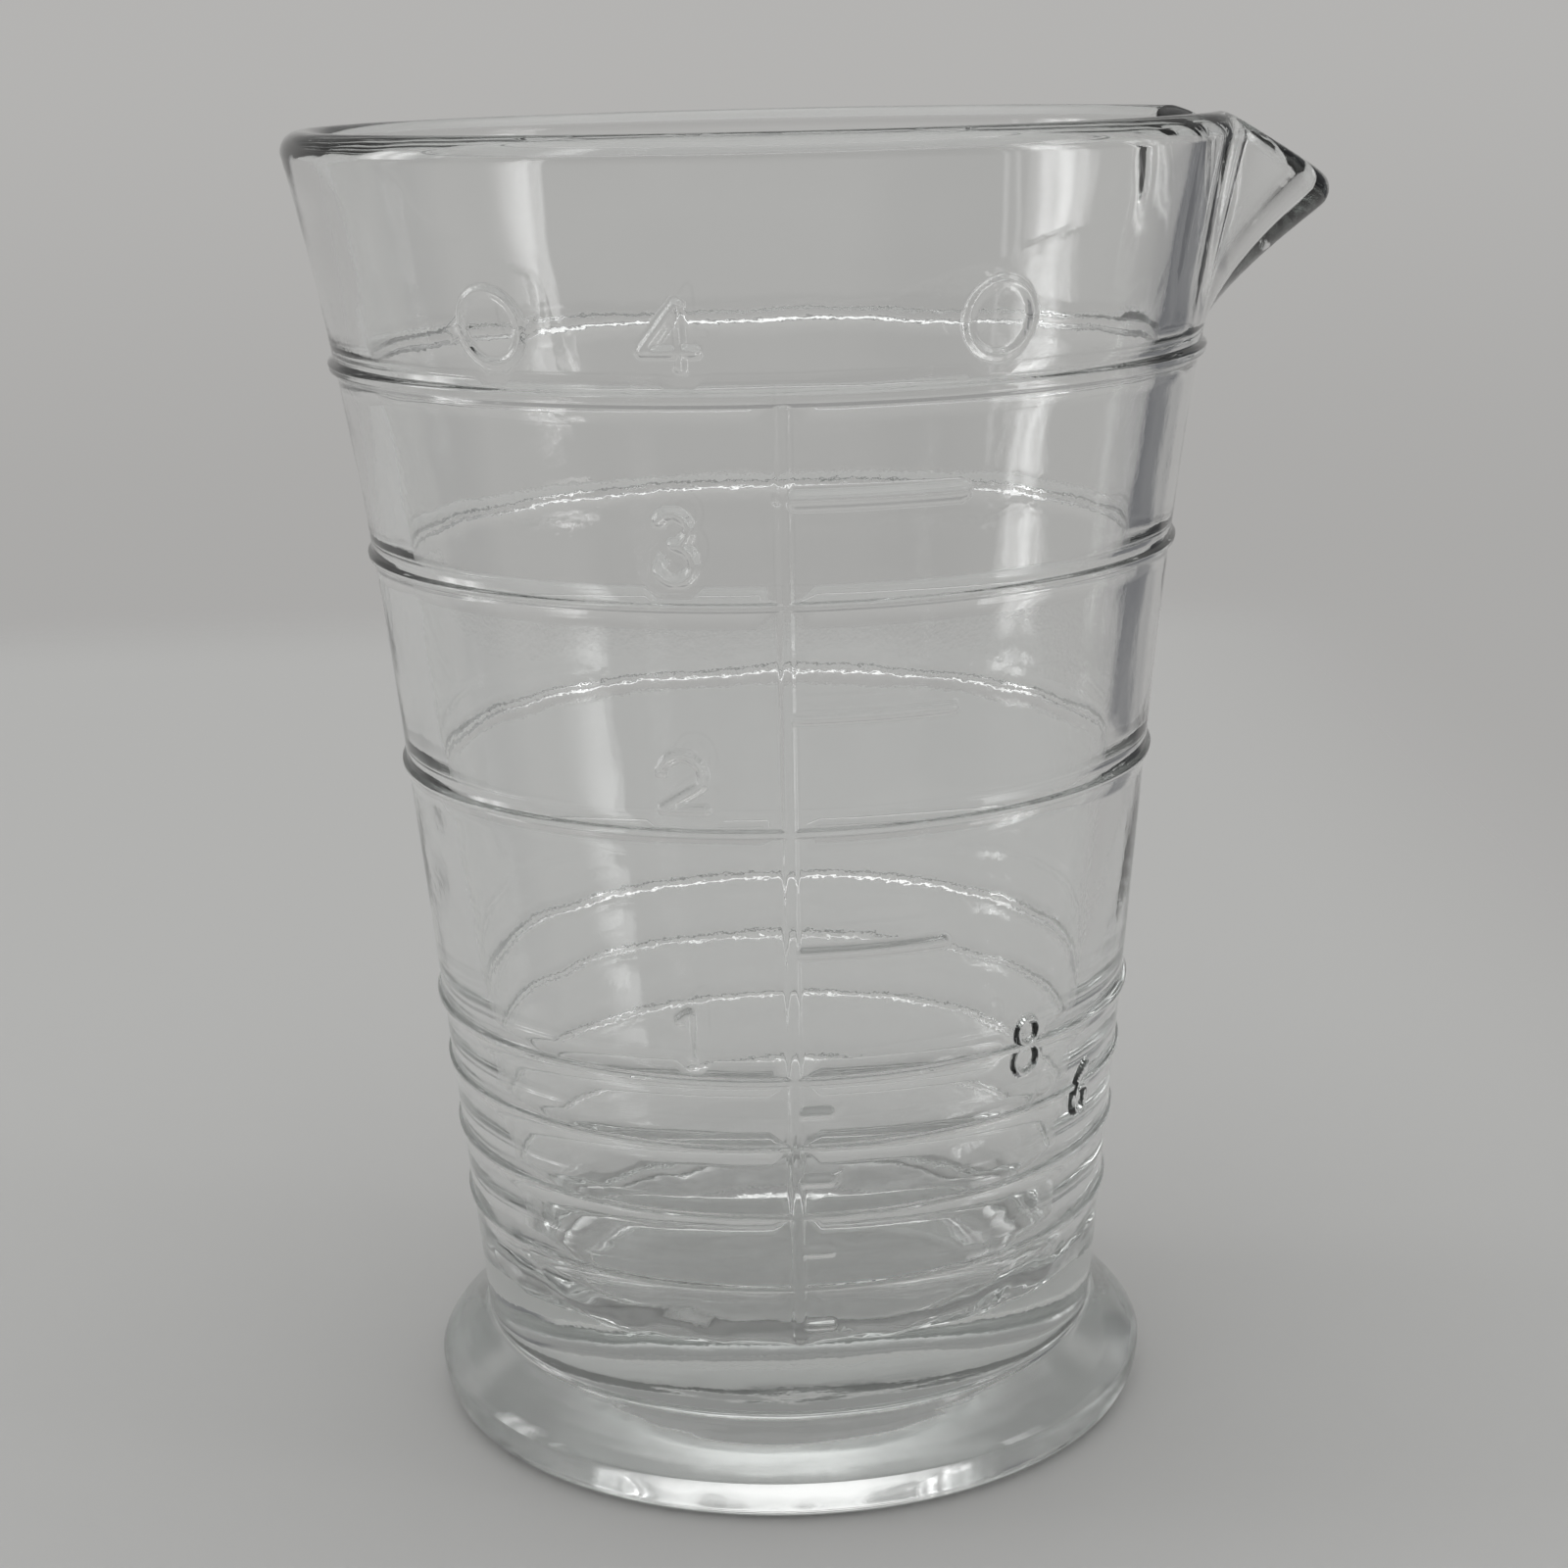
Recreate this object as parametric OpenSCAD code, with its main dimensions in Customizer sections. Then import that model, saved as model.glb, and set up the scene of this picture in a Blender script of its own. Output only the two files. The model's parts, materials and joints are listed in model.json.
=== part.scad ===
// Four-ounce pressed glass measure with a pouring spout.
// The axis of the glass is Z, the table is z = 0, the spout points along +X
// and the scale faces -Y. All lengths are in millimetres.

/* [Wall] */
// Height of the rim above the table
height = 93.6; // [90:0.1:100]
// Outer radius of the wall where it rises from the foot
neck_r = 22.85; // [22.35:0.05:23.8]
// Lean of the outer wall from upright in degrees
wall_lean = 5.36; // [4.8:0.02:6.5]
// Extra outer radius that the flare adds at the rim
rim_flare = 2.6; // [1.5:0.1:4]
// Share of the height at which the flare begins
flare_share = 0.513; // [0.42:0.001:0.62]
// Power of the flare's curve
flare_power = 2.5; // [2:0.1:3]
// Wall thickness where the wall rises from the foot
wall_base = 3.45; // [2.6:0.05:3.8]
// Wall thickness at half height
wall_mid = 2.7; // [2.2:0.1:3]
// Wall thickness at the rim
wall_rim = 2.9; // [2.4:0.1:3.4]
// Height of the inner floor above the top of the foot
floor_rise = 3.8; // [3:0.1:4.6]
// Radius of the fillet round the inner floor
floor_fillet = 4.5; // [2.5:0.1:6]
// Height of the rounded rim
rim_h = 2.4; // [2:0.1:3]

/* [Foot] */
// Largest radius of the foot
foot_r = 26.6; // [25.6:0.1:29]
// Height of the foot where the wall rises from it
foot_h = 6.3; // [5.6:0.1:7]
// Height of the foot's widest line
foot_waist_z = 3; // [2:0.1:3.6]
// Radius of the foot's lower edge, where it meets the table
foot_edge_r = 25.2; // [24:0.1:26]
// Radius of the hollow under the foot
hollow_r = 17; // [14:0.1:20]
// Depth of the hollow under the foot
hollow_depth = 0.8; // [0.4:0.1:1.6]
// Width of the hollow's sloping edge
hollow_edge = 0.7; // [0.3:0.1:1.2]
// Fullness of the foot's upper side: 1 is a straight slope, 2 is round
shoulder_power = 1.2; // [1.1:0.05:2]

/* [Spout] */
// Half of the angle that the spout takes out of the rim
spout_half_angle = 17; // [14:0.5:22]
// How far the spout's tip reaches past the rim
spout_reach = 6.6; // [4:0.1:9]
// How far the spout's lip dips below the rim
spout_drop = 4.4; // [2:0.1:5.5]
// Roundness of the spout's keel, from sharp to round
spout_roundness = 0.2; // [0.1:0.02:0.5]
// Where the keel bends, as a share of the spout's height
spout_bend = 0.32; // [0.2:0.01:0.6]

/* [Rings] */
// Distance from the rim down to the middle of the top ring; 15.99 makes an ounce 29.57 ml
top_ring_drop = 15.99; // [14.6:0.01:18]
// Width of the top ring, at 4 ounces
top_ring_w = 1.4; // [1.2:0.1:1.8]
// Height of the top ring above the wall
top_ring_h = 0.45; // [0.3:0.05:0.7]
// Width of the other ounce rings
ounce_ring_w = 0.85; // [0.7:0.05:1.2]
// Height of the other ounce rings above the wall
ounce_ring_h = 0.35; // [0.2:0.05:0.5]
// Width of a dram ring
dram_ring_w = 0.8; // [0.6:0.05:1]
// Height of a dram ring above the wall
dram_ring_h = 0.25; // [0.15:0.05:0.4]

/* [Scale] */
// Width of the upright line of the scale
spine_w = 1.05; // [0.7:0.05:1.6]
// Height of lines and numerals above the wall
relief = 0.4; // [0.2:0.05:0.6]
// Width of the half-ounce line at 3 1/2 ounces
top_bar_w = 1.15; // [0.9:0.05:1.4]
// Width of the other half-ounce lines
bar_w = 0.85; // [0.7:0.05:1.1]
// Angle that a half-ounce line takes round the wall
bar_angle = 23.5; // [18:0.5:30]
// Width of a short dram line
dash_w = 0.8; // [0.6:0.05:1.1]
// Length of a short dram line
dash_l = 2; // [1.4:0.1:3]

/* [Numerals] */
// Height of the 4 ounce numeral
numeral_h = 4.6; // [3.8:0.1:5.2]
// Width of an ounce numeral
numeral_w = 3.5; // [2.6:0.1:4]
// Distance from the upright line to the middle of an ounce numeral
numeral_offset = 6.8; // [5.5:0.1:8.5]
// Gap between an ounce ring and the numeral above it
numeral_gap = 0.9; // [0.4:0.1:1.5]
// Stroke width of the numerals
stroke = 0.7; // [0.5:0.05:0.9]
// Height of a dram numeral
dram_numeral_h = 4.5; // [3.6:0.1:5]
// Width of a dram numeral
dram_numeral_w = 2.8; // [2.3:0.1:3.2]
// Angle round the wall from the scale to the 8 dram numeral
dram_numeral_start = 39.3; // [36:0.1:42]
// Angle from each dram numeral to the next
dram_numeral_step = 15.9; // [13:0.1:20]
// Radius of a blank roundel
roundel_r = 2.6; // [1.8:0.1:3]
// Gap between the 4 ounce ring and a roundel
roundel_gap = 1; // [0.4:0.1:2]
// Angle from the scale to the left roundel
roundel_left_angle = 35; // [30:1:40]
// Angle from the scale to the right roundel
roundel_right_angle = 26; // [20:1:32]

/* [Hidden] */

$fn = 96;
glass = [0.84, 0.89, 0.88];
glass_raised = [0.70, 0.78, 0.77];
scale_at = -90;      // direction of the scale, facing -Y
ounces = 4;          // volume held at the top ring
drams_per_ounce = 8;
numeral_share = [0.84, 0.96, 1.12, 1];  // height of each ounce numeral against the 4's
slices = 300;        // level slices in which the capacity is summed
ring_steps = 10;     // straight stretches round a ring's bead
lip_steps = 10;      // straight stretches round the lip
spout_steps = 24;    // sections across the spout
upper_steps = 8;     // stretches of the wall from the top ring to the rim
floor_z = foot_h + floor_rise;
wall_mid_z = (foot_h + height) / 2;
flare_start = flare_share * height;
flare_step = height / 31;     // longest straight stretch on the flare
top_ring_z = height - top_ring_drop;
slice = (top_ring_z - floor_z) / slices;

// Outer radius of the wall as drawn: a straight taper and a growing flare
function drawn_r(z) = neck_r + tan(wall_lean) * (z - foot_h)
    + rim_flare * pow(max(z - flare_start, 0) / (height - flare_start), flare_power);

// Thickness of the wall, measured level
function wall_t(z) = lookup(z, [[foot_h, wall_base], [wall_mid_z, wall_mid], [height, wall_rim]]);

// Inner radius of the wall above the floor's fillet
function inside_r(z) = drawn_r(z) - wall_t(z);

// Inner radius anywhere above the floor, fillet included
function cavity_r(z) = z >= floor_z + floor_fillet ? inside_r(z)
    : inside_r(floor_z + floor_fillet) - floor_fillet
      + sqrt(pow(floor_fillet, 2) - pow(floor_z + floor_fillet - z, 2));

// Volume of the cavity between two near heights
function slice_volume(z1, z2) = PI / 3 * (z2 - z1)
    * (pow(cavity_r(z1), 2) + cavity_r(z1) * cavity_r(z2) + pow(cavity_r(z2), 2));

// Volume held up to each slice, as [volume, height], summed from the floor to the top ring
function held(i = 0, volume = 0) = let (z = floor_z + i * slice)
    i == slices ? [[volume, z]] : concat([[volume, z]], held(i + 1, volume + slice_volume(z, z + slice)));
held_table = held();
ounce_volume = held_table[slices][0] / ounces;

// Level of a mark in ounces, and of one in drams: the height at which that volume is held
function ounce_z(n) = lookup(n * ounce_volume, held_table);
function dram_z(n) = ounce_z(n / drams_per_ounce);

ounce_marks = [for (n = [1:ounces]) ounce_z(n)];
dram_marks = [for (n = [2:2:6]) dram_z(n)];

// The wall is straight between its stops: the edges of the rings, and steps on the flare
function ring_w(n) = n == ounces ? top_ring_w : ounce_ring_w;
ring_edges = concat([for (z = dram_marks) each [z - dram_ring_w / 2, z + dram_ring_w / 2]],
                    [for (n = [1:ounces], side = [-1, 1]) ounce_marks[n - 1] + side * ring_w(n) / 2]);
spout_z = top_ring_z + top_ring_w / 2;
rim_z = height - rim_h;
function between(a, b) = let (n = b <= flare_start ? 1 : ceil((b - a) / flare_step))
    [for (i = [0:n - 1]) a + (b - a) * i / n];
lower_stops = concat([for (i = [0:len(ring_edges) - 1])
                      each between(i == 0 ? foot_h : ring_edges[i - 1], ring_edges[i])]);
upper_stops = [for (i = [0:upper_steps]) spout_z + (rim_z - spout_z) * i / upper_steps];
wall_table = [for (z = concat(lower_stops, upper_stops)) [z, drawn_r(z)]];

// Outer radius of the wall as built, with its straight stretches
function skin_r(z) = lookup(z, wall_table);
function stops_within(a, b) = [for (p = wall_table) if (p[0] > a + 0.001 && p[0] < b - 0.001) p[0]];

// Stretches of the wall between the rings, cut to the heights a and b
function clear_between(a, b) = let (e = concat([foot_h], ring_edges, [rim_z]))
    [for (i = [0:2:len(e) - 1]) if (min(b, e[i + 1]) - max(a, e[i]) > 0.05) [max(a, e[i]), min(b, e[i + 1])]];

// Lip: half of an ellipse that closes the wall's two faces at the rim
lip_z = height - wall_rim / 2;
rim_lean = atan((drawn_r(lip_z) - drawn_r(rim_z)) / (lip_z - rim_z));
function lip_points(centre, half, lean) = [for (i = [0:lip_steps])
    let (a = 180 * i / lip_steps)
    centre + half * [cos(lean) * cos(a) + sin(lean) * sin(a), cos(lean) * sin(a) - sin(lean) * cos(a)]];

// Cross-section of the plain wall from the top ring to the lip, as [radius, height]
lip_centre = [drawn_r(lip_z) - wall_rim / 2, lip_z];
plain_outer = [for (z = upper_stops) [drawn_r(z), z]];
plain_inner = [for (i = [upper_steps:-1:0]) [inside_r(upper_stops[i]), upper_stops[i]]];
plain_lip = lip_points(lip_centre, wall_rim / 2, rim_lean);
plain_section = concat(plain_outer, plain_lip, plain_inner);

// Cross-section of the spout at its keel: the same points along a curve that leans out
keel_start = [(drawn_r(spout_z) + inside_r(spout_z)) / 2, spout_z];
keel_end = [drawn_r(lip_z) + spout_reach - wall_rim / 2, height - spout_drop - wall_rim / 2];
keel_bend = [keel_start[0] + tan(rim_lean) * (keel_end[1] - keel_start[1]) * spout_bend,
             keel_start[1] + (keel_end[1] - keel_start[1]) * spout_bend];
function keel_point(t) = pow(1 - t, 2) * keel_start + 2 * t * (1 - t) * keel_bend + pow(t, 2) * keel_end;
function keel_way(t) = let (d = (1 - t) * (keel_bend - keel_start) + t * (keel_end - keel_bend)) d / norm(d);
function keel_half(t) = (1 - t) * wall_t(spout_z) / 2 + t * wall_rim / 2;
function keel_side(t, side) = keel_point(t) + side * keel_half(t) * [keel_way(t)[1], -keel_way(t)[0]];
function keel_t(i) = i / upper_steps * (rim_z - spout_z) / (lip_z - spout_z);
keel_tip_lean = atan(keel_way(1)[0] / keel_way(1)[1]);
keel_outer = [for (i = [0:upper_steps]) i == 0 ? plain_outer[0] : keel_side(keel_t(i), 1)];
keel_inner = [for (i = [upper_steps:-1:0]) i == 0 ? plain_inner[upper_steps] : keel_side(keel_t(i), -1)];
keel_lip = lip_points(keel_end, wall_rim / 2, keel_tip_lean);
keel_section = concat(keel_outer, keel_lip, keel_inner);

// How strongly the keel shows across the spout: 1 at the keel, 0 at its two creases
function swell(u) = (sqrt(1 + pow(spout_roundness, 2)) - sqrt(u * u + pow(spout_roundness, 2)))
    / (sqrt(1 + pow(spout_roundness, 2)) - spout_roundness);

module bowl() {
    floor_points = [for (a = [0:10:90])
        [inside_r(floor_z + floor_fillet) - floor_fillet + floor_fillet * sin(a),
         floor_z + floor_fillet - floor_fillet * cos(a)]];
    inner_up = concat([[0, floor_z]], floor_points, [[inside_r(wall_mid_z), wall_mid_z]],
                      [for (p = wall_table) if (p[0] > wall_mid_z + 1) [inside_r(p[0]), p[0]]]);
    outer_down = [for (i = [len(wall_table) - 1:-1:0]) [wall_table[i][1], wall_table[i][0]]];
    color(glass) difference() {
        rotate_extrude() polygon(concat(inner_up, outer_down, [[0, foot_h]]));
        translate([0, 0, spout_z]) linear_extrude(height = height) polygon([[0, 0],
            for (i = [-3:3]) 2 * foot_r * [cos(spout_half_angle * i / 3), sin(spout_half_angle * i / 3)]]);
    }
}

module rim() {
    color(glass) rotate([0, 0, spout_half_angle]) rotate_extrude(angle = 360 - 2 * spout_half_angle)
        polygon(concat([[drawn_r(rim_z), rim_z]], plain_lip, [[inside_r(rim_z), rim_z]]));
}

module pouring_spout() {
    n = len(plain_section);
    sections = [for (i = [0:spout_steps])
        let (u = 2 * i / spout_steps - 1, a = u * spout_half_angle)
        [for (k = [0:n - 1]) let (p = plain_section[k] + swell(u) * (keel_section[k] - plain_section[k]))
            [p[0] * cos(a), p[0] * sin(a), p[1]]]];
    sides = [for (i = [0:spout_steps - 1], k = [0:n - 1])
        let (k2 = (k + 1) % n, a = i * n + k, b = i * n + k2, c = a + n, d = b + n)
        each [[a, b, d], [a, d, c]]];
    ends = [[for (k = [n - 1:-1:0]) k], [for (k = [0:n - 1]) spout_steps * n + k]];
    color(glass) polyhedron([for (s = sections) each s], concat(sides, ends), convexity = 6);
}

module foot() {
    waist = [for (i = [0:6]) let (a = 15 * i)
        [foot_edge_r + (foot_r - foot_edge_r) * sin(a), foot_waist_z * (1 - cos(a))]];
    shoulder = [for (i = [1:9]) let (a = 10 * i)
        [neck_r + (foot_r - neck_r) * pow(cos(a), 2 / shoulder_power),
         foot_waist_z + (foot_h - foot_waist_z) * pow(sin(a), 2 / shoulder_power)]];
    hollow = [[0, hollow_depth], [hollow_r - hollow_edge, hollow_depth], [hollow_r, 0]];
    color(glass) rotate_extrude() polygon(concat(hollow, waist, shoulder, [[0, foot_h]]));
}

// Bead of a ring, half round and seated on the wall's own straight stretch
module bead(z, w, h) {
    rotate_extrude() polygon([for (i = [0:ring_steps]) let (a = 180 * i / ring_steps)
        [skin_r(z - w / 2 * cos(a)) + h * sin(a), z - w / 2 * cos(a)]]);
}

module ounce_ring(n) {
    color(glass_raised) bead(ounce_marks[n - 1], ring_w(n), n == ounces ? top_ring_h : ounce_ring_h);
}

module dram_ring(n) {
    color(glass_raised) bead(dram_marks[n / 2 - 1], dram_ring_w, dram_ring_h);
}

// Thin skin on the wall between two heights, round an angle on each side of the direction a
module wall_skin(z1, z2, a, half) {
    zs = concat([z1], stops_within(z1, z2), [z2]);
    n = len(zs);
    rotate([0, 0, a - half]) rotate_extrude(angle = 2 * half)
        polygon(concat([for (z = zs) [skin_r(z), z]],
                       [for (i = [n - 1:-1:0]) [skin_r(zs[i]) + relief, zs[i]]]));
}

// A flat drawing raised on the wall between two heights, left out where a ring crosses it:
// x runs round the wall to the right of the direction a, y runs up from z1
module raised(z1, z2, a, half_w) {
    half = asin(min(0.9, (half_w + stroke) / (skin_r(z1) - 1)));
    for (c = clear_between(z1, z2)) intersection() {
        wall_skin(c[0], c[1], a, half);
        rotate([0, 0, a - scale_at]) translate([0, -neck_r / 2, z1])
            rotate([90, 0, 0]) linear_extrude(height = foot_r + neck_r) children();
    }
}

module scale_spine() {
    z1 = dram_z(1) - dash_w;
    z2 = ring_edges[len(ring_edges) - 2];
    color(glass_raised) raised(z1, z2, scale_at, spine_w / 2)
        translate([-spine_w / 2, -stroke]) square([spine_w, z2 - z1 + 2 * stroke]);
}

// A line round the wall that starts at the upright line and has a round end
module scale_line(z, w, angle) {
    r = skin_r(z);
    end_r = w * 0.54;
    tip = angle - asin(end_r / r);
    function way(i) = scale_at + tip * i / 6;
    intersection() {
        wall_skin(z - w / 2, z + w / 2, scale_at + angle / 2, angle / 2);
        union() {
            translate([0, 0, z - w]) linear_extrude(height = 2 * w)
                difference() {
                    polygon([[0, 0], for (i = [0:6]) 2 * r * [cos(way(i)), sin(way(i))]]);
                    translate([-spine_w / 2, -2 * r]) square([spine_w, 2 * r]);
                }
            rotate([0, 0, scale_at + tip]) translate([r - wall_mid, 0, z])
                rotate([0, 90, 0]) cylinder(r = end_r, h = 2 * wall_mid);
        }
    }
}

module half_ounce_bar(n) {
    color(glass_raised) scale_line(ounce_z(n + 0.5), n == 3 ? top_bar_w : bar_w, bar_angle);
}

module dram_dashes() {
    color(glass_raised) for (n = [1:2:7])
        scale_line(dram_z(n), dash_w, asin((spine_w / 2 + dash_l) / skin_r(dram_z(n))));
}

// Flat strokes for the numerals: a straight one and part of a ring
module straight_stroke(p, q) {
    l = norm(q - p);
    translate(p) rotate(atan2(q[1] - p[1], q[0] - p[0])) union() {
        translate([0, -stroke / 2]) square([l, stroke]);
        circle(d = stroke);
        translate([l, 0]) circle(d = stroke);
    }
}

module ring_stroke(c, r) {
    translate(c) difference() {
        circle(r = r + stroke / 2);
        circle(r = r - stroke / 2);
    }
}

module round_stroke(c, r, a1, a2) {
    translate(c) rotate(a1) intersection() {
        difference() {
            circle(r = r + stroke / 2);
            circle(r = r - stroke / 2);
        }
        polygon([[0, 0], for (i = [0:6]) 3 * r * [cos((a2 - a1) * i / 6), sin((a2 - a1) * i / 6)]]);
    }
}

// Numerals in a box w wide and h high, standing on y = 0
module numeral(digit, w, h) {
    s = stroke / 2;
    upper = (h - stroke) * 0.23;
    lower = (h - stroke) / 2 - upper;
    if (digit == 1) {
        straight_stroke([0, s], [0, h - s]);
        straight_stroke([0, h - s], [-w * 0.2, h - w * 0.26]);
    }
    if (digit == 2) {
        r = w / 2 - s;
        round_stroke([0, h - s - r], r, -30, 170);
        straight_stroke([r * cos(30), h - s - r - r * sin(30)], [-r, s]);
        straight_stroke([-r, s], [r, s]);
    }
    if (digit == 3) {
        round_stroke([0, h - s - upper], upper, -80, 150);
        round_stroke([0, s + lower], lower, -150, 80);
    }
    if (digit == 4) {
        straight_stroke([w * 0.2, s], [w * 0.2, h - s]);
        straight_stroke([w * 0.2, h - s], [s - w * 0.56, h * 0.3]);
        straight_stroke([s - w * 0.56, h * 0.3], [w * 0.56 - s, h * 0.3]);
    }
    if (digit == 6) {
        loop = (h - stroke) / 4;
        ring_stroke([0, s + loop], loop);
        round_stroke([2 * loop, s + loop], 3 * loop - stroke / 6, 112, 175);
    }
    if (digit == 8) {
        ring_stroke([0, h - s - upper], upper);
        ring_stroke([0, s + lower], lower);
    }
}

module ounce_numeral(n) {
    z = ounce_marks[n - 1] + ring_w(n) / 2 + numeral_gap;
    h = numeral_h * numeral_share[n - 1];
    color(glass_raised) raised(z, z + h, scale_at - asin(numeral_offset / skin_r(z)), numeral_w / 2)
        numeral(n, numeral_w, h);
}

// A dram numeral straddles its ring
module dram_numeral(n) {
    z = dram_z(n) - dram_numeral_h / 2;
    a = scale_at + dram_numeral_start + dram_numeral_step * (drams_per_ounce - n) / 2;
    color(glass_raised) raised(z, z + dram_numeral_h, a, dram_numeral_w / 2)
        numeral(n, dram_numeral_w, dram_numeral_h);
}

module blank_roundels() {
    z = spout_z + roundel_gap;
    color(glass_raised) for (a = [-roundel_left_angle, roundel_right_angle])
        raised(z, z + 2 * roundel_r, scale_at + a, roundel_r)
            translate([0, roundel_r]) difference() {
                circle(r = roundel_r);
                circle(r = roundel_r - stroke / 2);
            }
}

bowl();
rim();
pouring_spout();
foot();
ounce_ring(4);  // ring_4_ounce
ounce_ring(3);  // ring_3_ounce
ounce_ring(2);  // ring_2_ounce
ounce_ring(1);  // ring_1_ounce
dram_ring(6);  // ring_6_dram
dram_ring(4);  // ring_4_dram
dram_ring(2);  // ring_2_dram
scale_spine();
half_ounce_bar(3);  // half_ounce_bar_3
half_ounce_bar(2);  // half_ounce_bar_2
half_ounce_bar(1);  // half_ounce_bar_1
dram_dashes();
ounce_numeral(4);  // numeral_4_ounce
ounce_numeral(3);  // numeral_3_ounce
ounce_numeral(2);  // numeral_2_ounce
ounce_numeral(1);  // numeral_1_ounce
dram_numeral(8);  // numeral_8_dram
dram_numeral(6);  // numeral_6_dram
blank_roundels();
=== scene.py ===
"""Looks of a four-ounce pressed glass measure with a pouring spout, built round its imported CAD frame.

The real glass is one moulding, so what shows is one closed skin of glass: its outline is drawn once, spun
round the axis, drawn out into the spout, and raised where the lines and numerals stand. It replaces every
CAD node.
"""

import json
import logging
import math
from dataclasses import dataclass, field
from enum import Enum
from typing import Callable, Iterable, Sequence

import bpy
import numpy as np
from mathutils import Matrix, Vector, noise
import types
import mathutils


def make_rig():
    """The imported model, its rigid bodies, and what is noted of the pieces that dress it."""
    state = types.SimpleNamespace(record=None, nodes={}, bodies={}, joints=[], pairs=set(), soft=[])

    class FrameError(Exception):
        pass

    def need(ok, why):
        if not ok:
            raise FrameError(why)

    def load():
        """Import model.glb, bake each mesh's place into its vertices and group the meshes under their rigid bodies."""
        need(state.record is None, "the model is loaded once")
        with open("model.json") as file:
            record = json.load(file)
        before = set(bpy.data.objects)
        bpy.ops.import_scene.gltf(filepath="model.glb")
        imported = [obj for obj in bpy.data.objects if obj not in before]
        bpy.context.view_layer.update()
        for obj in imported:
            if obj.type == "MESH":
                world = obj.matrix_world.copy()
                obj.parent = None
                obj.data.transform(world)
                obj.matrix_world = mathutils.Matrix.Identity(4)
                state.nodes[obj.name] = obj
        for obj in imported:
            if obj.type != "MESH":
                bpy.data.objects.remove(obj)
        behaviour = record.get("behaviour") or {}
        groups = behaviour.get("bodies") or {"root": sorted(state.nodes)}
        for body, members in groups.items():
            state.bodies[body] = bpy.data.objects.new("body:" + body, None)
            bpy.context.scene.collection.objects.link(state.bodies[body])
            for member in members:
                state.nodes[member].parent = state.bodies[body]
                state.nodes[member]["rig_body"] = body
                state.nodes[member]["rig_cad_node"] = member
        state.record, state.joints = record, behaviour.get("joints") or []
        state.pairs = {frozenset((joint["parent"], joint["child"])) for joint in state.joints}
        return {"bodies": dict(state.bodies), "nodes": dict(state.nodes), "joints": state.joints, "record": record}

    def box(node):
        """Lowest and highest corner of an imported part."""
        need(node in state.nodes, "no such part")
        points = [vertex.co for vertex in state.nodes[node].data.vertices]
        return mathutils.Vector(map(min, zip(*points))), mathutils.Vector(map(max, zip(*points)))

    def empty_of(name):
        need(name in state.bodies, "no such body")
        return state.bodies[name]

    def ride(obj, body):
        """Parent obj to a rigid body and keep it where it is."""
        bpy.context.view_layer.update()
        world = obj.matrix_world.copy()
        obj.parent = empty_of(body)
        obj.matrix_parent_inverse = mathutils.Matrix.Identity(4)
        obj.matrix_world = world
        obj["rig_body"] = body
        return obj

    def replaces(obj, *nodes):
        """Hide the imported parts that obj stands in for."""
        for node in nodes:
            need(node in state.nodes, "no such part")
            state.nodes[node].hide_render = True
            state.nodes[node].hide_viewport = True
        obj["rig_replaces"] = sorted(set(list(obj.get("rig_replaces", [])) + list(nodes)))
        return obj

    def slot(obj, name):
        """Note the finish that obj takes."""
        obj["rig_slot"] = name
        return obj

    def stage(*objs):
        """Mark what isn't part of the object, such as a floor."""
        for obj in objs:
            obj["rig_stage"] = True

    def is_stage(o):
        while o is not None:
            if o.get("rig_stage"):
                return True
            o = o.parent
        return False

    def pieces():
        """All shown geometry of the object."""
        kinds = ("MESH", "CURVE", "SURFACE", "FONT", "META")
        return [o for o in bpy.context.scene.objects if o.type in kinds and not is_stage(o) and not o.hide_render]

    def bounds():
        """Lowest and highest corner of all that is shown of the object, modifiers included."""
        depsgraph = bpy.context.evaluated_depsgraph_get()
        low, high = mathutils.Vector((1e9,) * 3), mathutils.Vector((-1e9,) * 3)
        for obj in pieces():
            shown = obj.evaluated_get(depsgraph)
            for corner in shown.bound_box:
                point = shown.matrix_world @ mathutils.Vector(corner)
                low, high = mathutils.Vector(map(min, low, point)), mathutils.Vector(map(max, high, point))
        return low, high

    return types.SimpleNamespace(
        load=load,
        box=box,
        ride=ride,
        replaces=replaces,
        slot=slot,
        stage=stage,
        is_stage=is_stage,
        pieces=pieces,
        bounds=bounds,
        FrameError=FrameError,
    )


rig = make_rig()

log = logging.getLogger("measure")

MM = 0.001
BODY = "root"
GLASS_SLOT = "clear_glass"
SIZE_FILE = "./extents.json"
MOULD_MASK = "pebbled"
WEAR_MASK = "worn"
PHOTO_PX = 1600
SPOUT_AT = 0.0
SCALE_AT = -90.0
Point = tuple[float, float]
Span = tuple[float, float]
Color = tuple[float, float, float]
Socket = bpy.types.NodeSocket
Array = np.ndarray


class Side(Enum):
    """The tool that shaped a stretch of the glass, with the share of the mould's pebbles that it leaves."""

    MOULD = 1.0
    PLUNGER = 0.35
    FIRE_POLISHED = 0.1


class RingKind(Enum):
    """The two kinds of ring, with the share of the CAD ring's width that the soft bead fills."""

    OUNCE = 0.92
    DRAM = 0.8


class Easing(Enum):
    """How a share runs from 0 to 1, with the name that Map Range has for it."""

    EVEN = "LINEAR"
    SOFT = "SMOOTHSTEP"


def smooth(t: Array | float) -> Array:
    """Ease a share from 0 to 1, flat at both ends."""
    t = np.clip(t, 0.0, 1.0)
    return t * t * (3.0 - 2.0 * t)


def deselect_all() -> None:
    """Leave nothing selected or active, in object mode."""
    if bpy.context.object and bpy.context.object.mode != "OBJECT":
        bpy.ops.object.mode_set(mode="OBJECT")
    bpy.ops.object.select_all(action="DESELECT")
    bpy.context.view_layer.objects.active = None


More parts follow.
